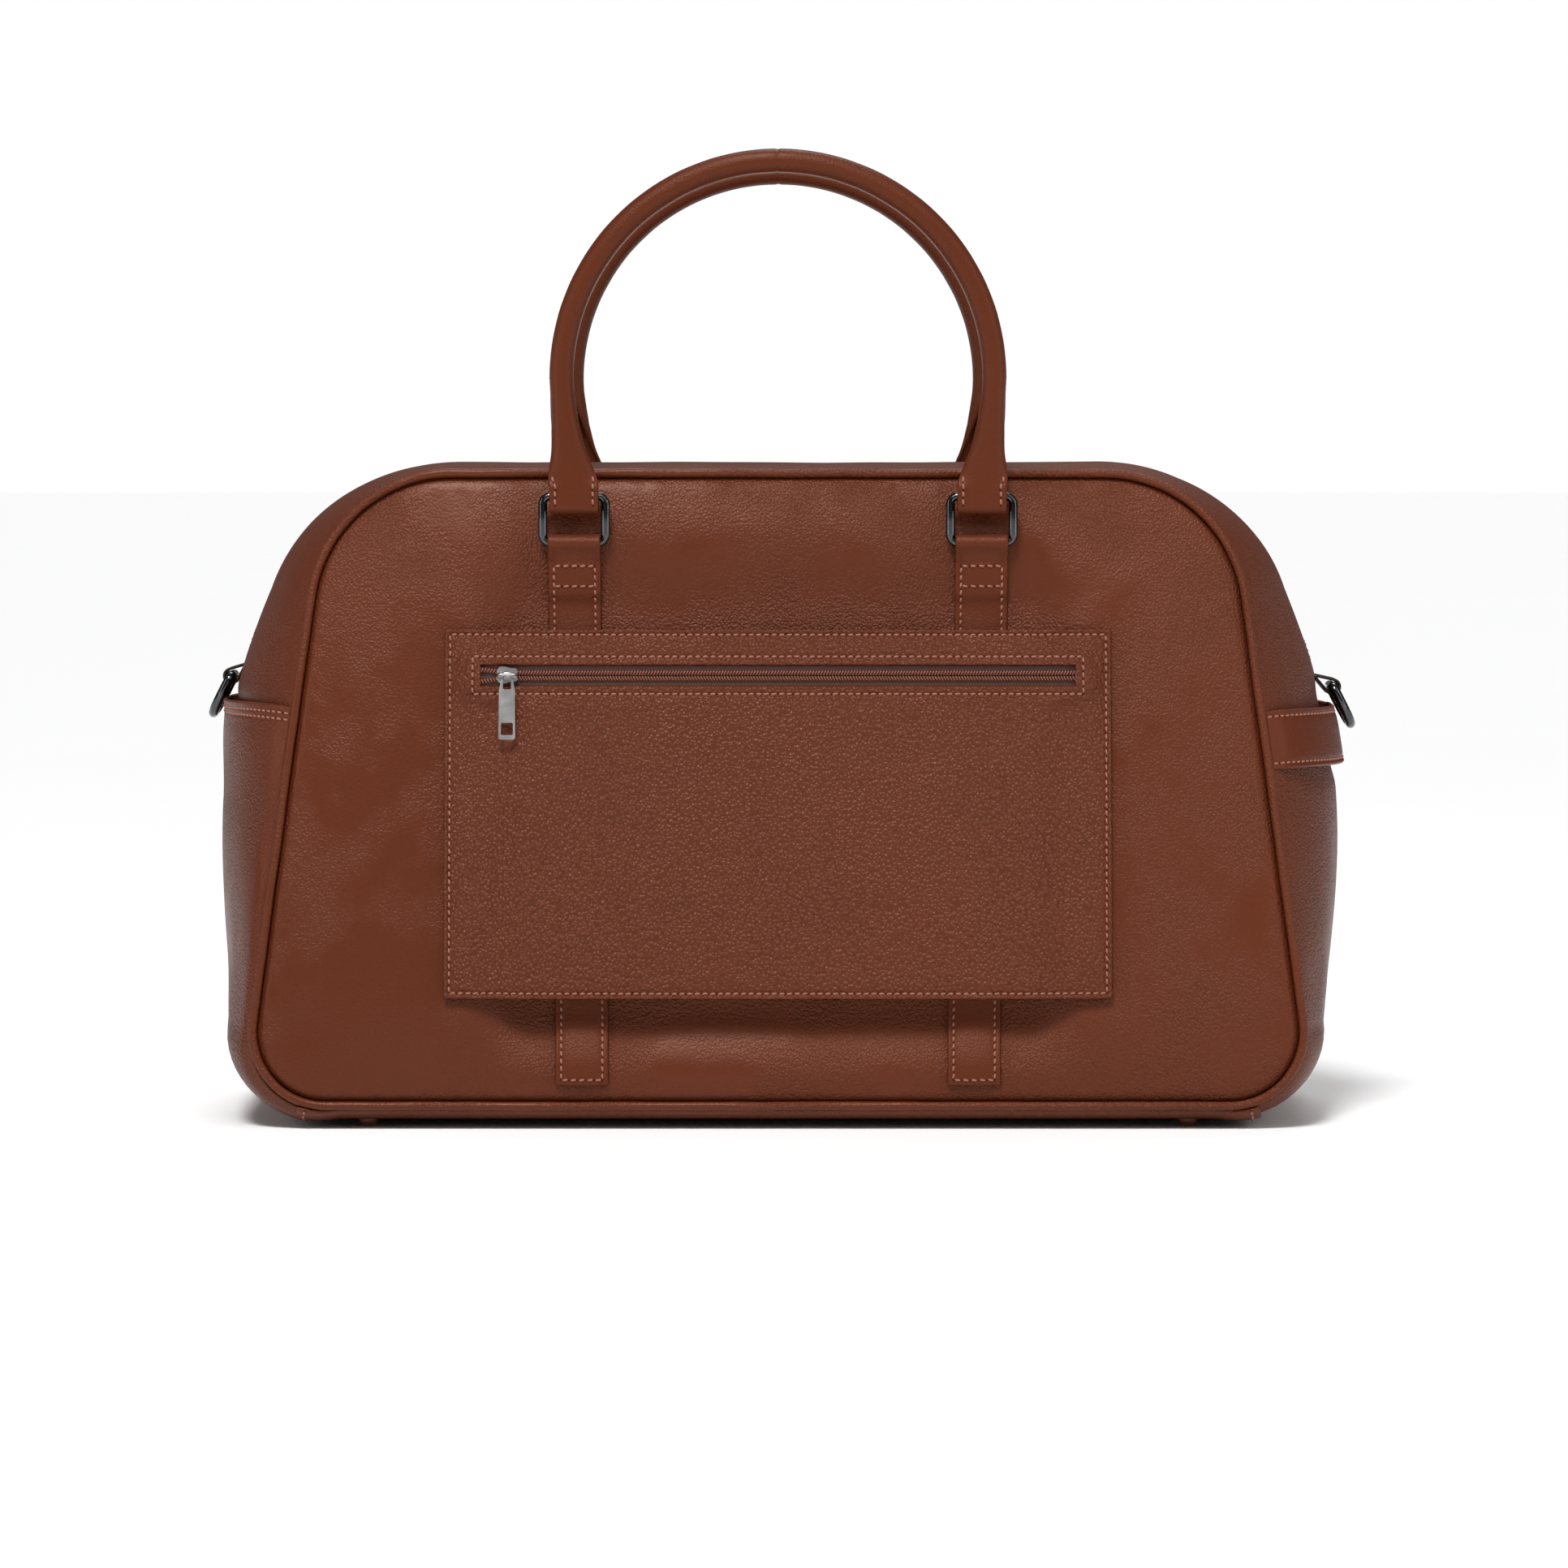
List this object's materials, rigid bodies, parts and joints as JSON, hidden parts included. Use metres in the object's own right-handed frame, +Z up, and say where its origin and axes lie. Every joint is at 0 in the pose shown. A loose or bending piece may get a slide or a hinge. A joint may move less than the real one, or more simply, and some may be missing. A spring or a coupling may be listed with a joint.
{
  "type": "weekender bag",
  "caption": "Soft leather weekender bag with rolled handles hung on rings, a zipped top, an end slip pocket, and a zipped trolley sleeve across its back.",
  "frame": {"origin": "middle of the base, at the level that the feet stand on", "axes": "+X along the bag towards the keeper-band end, +Y towards the front panel, +Z up; the trolley sleeve faces -Y"},
  "size_m": [0.5848, 0.25, 0.4857],
  "materials": {
    "leather": "pebbled chestnut-brown leather, soft sheen",
    "lining": "plain dark woven lining",
    "board": "matt dark board",
    "zip_tape": "woven tape dyed to match the leather",
    "zip_coil": "moulded nylon coil, dyed brown",
    "gunmetal": "polished dark gunmetal plating",
    "puller_metal": "satin nickel plating",
    "foot": "moulded stud, dyed brown",
    "handle_core": "twisted fibre cord"
  },
  "bodies": {
    "bag": {"back_panel": "leather", "base_board": "board", "base_panel": "leather", "d_ring_tab_left": "leather", "d_ring_tab_right": "leather", "foot_back_left": "foot", "foot_back_right": "foot", "foot_front_left": "foot", "foot_front_right": "foot", "front_panel": "leather", "keeper_band": "leather", "lining_back": "lining", "lining_front": "lining", "lining_sides": "lining", "main_zip_coils_back": "zip_coil", "main_zip_coils_front": "zip_coil", "main_zip_tape_back": "zip_tape", "main_zip_tape_front": "zip_tape", "piping_back": "leather", "piping_front": "leather", "pocket_backing": "lining", "pocket_zip_coils_lower": "zip_coil", "pocket_zip_coils_upper": "zip_coil", "pocket_zip_tape_lower": "zip_tape", "pocket_zip_tape_upper": "zip_tape", "side_gusset_left": "leather", "side_gusset_right": "leather", "side_pocket": "leather", "strap_back_left": "leather", "strap_back_right": "leather", "strap_front_left": "leather", "strap_front_right": "leather", "top_strip_back": "leather", "top_strip_front": "leather", "trolley_sleeve": "leather"},
    "ring_back_left": {"ring_back_left": "gunmetal"},
    "ring_back_right": {"ring_back_right": "gunmetal"},
    "ring_front_left": {"ring_front_left": "gunmetal"},
    "ring_front_right": {"ring_front_right": "gunmetal"},
    "handle_back": {"handle_back": "leather", "handle_core_back": "handle_core"},
    "handle_front": {"handle_front": "leather", "handle_core_front": "handle_core"},
    "pocket_slider": {"pocket_slider": "gunmetal"},
    "pocket_puller": {"pocket_puller": "puller_metal"},
    "main_slider_left": {"main_slider_left": "gunmetal"},
    "main_slider_right": {"main_slider_right": "gunmetal"},
    "main_puller_left": {"main_puller_left": "gunmetal"},
    "main_puller_right": {"main_puller_right": "gunmetal"},
    "d_ring_left": {"d_ring_left": "gunmetal"},
    "d_ring_right": {"d_ring_right": "gunmetal"}
  },
  "joints": [
    {"name": "ring_back_left_swing", "type": "hinge", "parent": "bag", "child": "ring_back_left", "pos_m": [-0.1013, -0.09055, 0.29], "axis": [1, 0, 0], "range_deg": [-12, 98]},
    {"name": "ring_back_right_swing", "type": "hinge", "parent": "bag", "child": "ring_back_right", "pos_m": [0.1013, -0.09055, 0.29], "axis": [1, 0, 0], "range_deg": [-12, 98]},
    {"name": "handle_back_swing", "type": "hinge", "parent": "ring_back_left", "child": "handle_back", "pos_m": [-0.1013, -0.09055, 0.3132], "axis": [1, 0, 0], "range_deg": [-10, 72]},
    {"name": "ring_front_left_swing", "type": "hinge", "parent": "bag", "child": "ring_front_left", "pos_m": [-0.1013, 0.09333, 0.29], "axis": [-1, 0, 0], "range_deg": [-12, 98]},
    {"name": "ring_front_right_swing", "type": "hinge", "parent": "bag", "child": "ring_front_right", "pos_m": [0.1013, 0.09333, 0.29], "axis": [-1, 0, 0], "range_deg": [-12, 98]},
    {"name": "handle_front_swing", "type": "hinge", "parent": "ring_front_left", "child": "handle_front", "pos_m": [-0.1013, 0.09333, 0.3132], "axis": [-1, 0, 0], "range_deg": [-10, 72]},
    {"name": "pocket_zip_slide", "type": "slide", "parent": "bag", "child": "pocket_slider", "axis": [1, 0, 0], "range_m": [0, 0.268]},
    {"name": "pocket_puller_swing", "type": "hinge", "parent": "pocket_slider", "child": "pocket_puller", "pos_m": [-0.134, -0.10971, 0.2252], "axis": [0, -0.9849, 0.173], "range_deg": [-85, 85]},
    {"name": "main_zip_slide_left", "type": "slide", "parent": "bag", "child": "main_slider_left", "axis": [-1, 0, 0], "range_m": [0, 0.14]},
    {"name": "main_puller_left_turn", "type": "hinge", "parent": "main_slider_left", "child": "main_puller_left", "pos_m": [-0.0085, 0, 0.326], "axis": [0, 0, 1], "range_deg": [-15, 15]},
    {"name": "d_ring_left_swing", "type": "hinge", "parent": "bag", "child": "d_ring_left", "pos_m": [-0.2782, 0, 0.221], "axis": [0, 1, 0], "range_deg": [0, 140]},
    {"name": "main_zip_slide_right", "type": "slide", "parent": "bag", "child": "main_slider_right", "axis": [1, 0, 0], "range_m": [0, 0.14]},
    {"name": "main_puller_right_turn", "type": "hinge", "parent": "main_slider_right", "child": "main_puller_right", "pos_m": [0.0085, 0, 0.326], "axis": [0, 0, 1], "range_deg": [-15, 15]},
    {"name": "d_ring_right_swing", "type": "hinge", "parent": "bag", "child": "d_ring_right", "pos_m": [0.2822, 0, 0.2155], "axis": [0, -1, 0], "range_deg": [0, 140]}
  ],
  "couplings": [
    {"joint": "ring_back_right_swing", "follows": "ring_back_left_swing", "ratio": 1},
    {"joint": "ring_front_right_swing", "follows": "ring_front_left_swing", "ratio": 1}
  ]
}
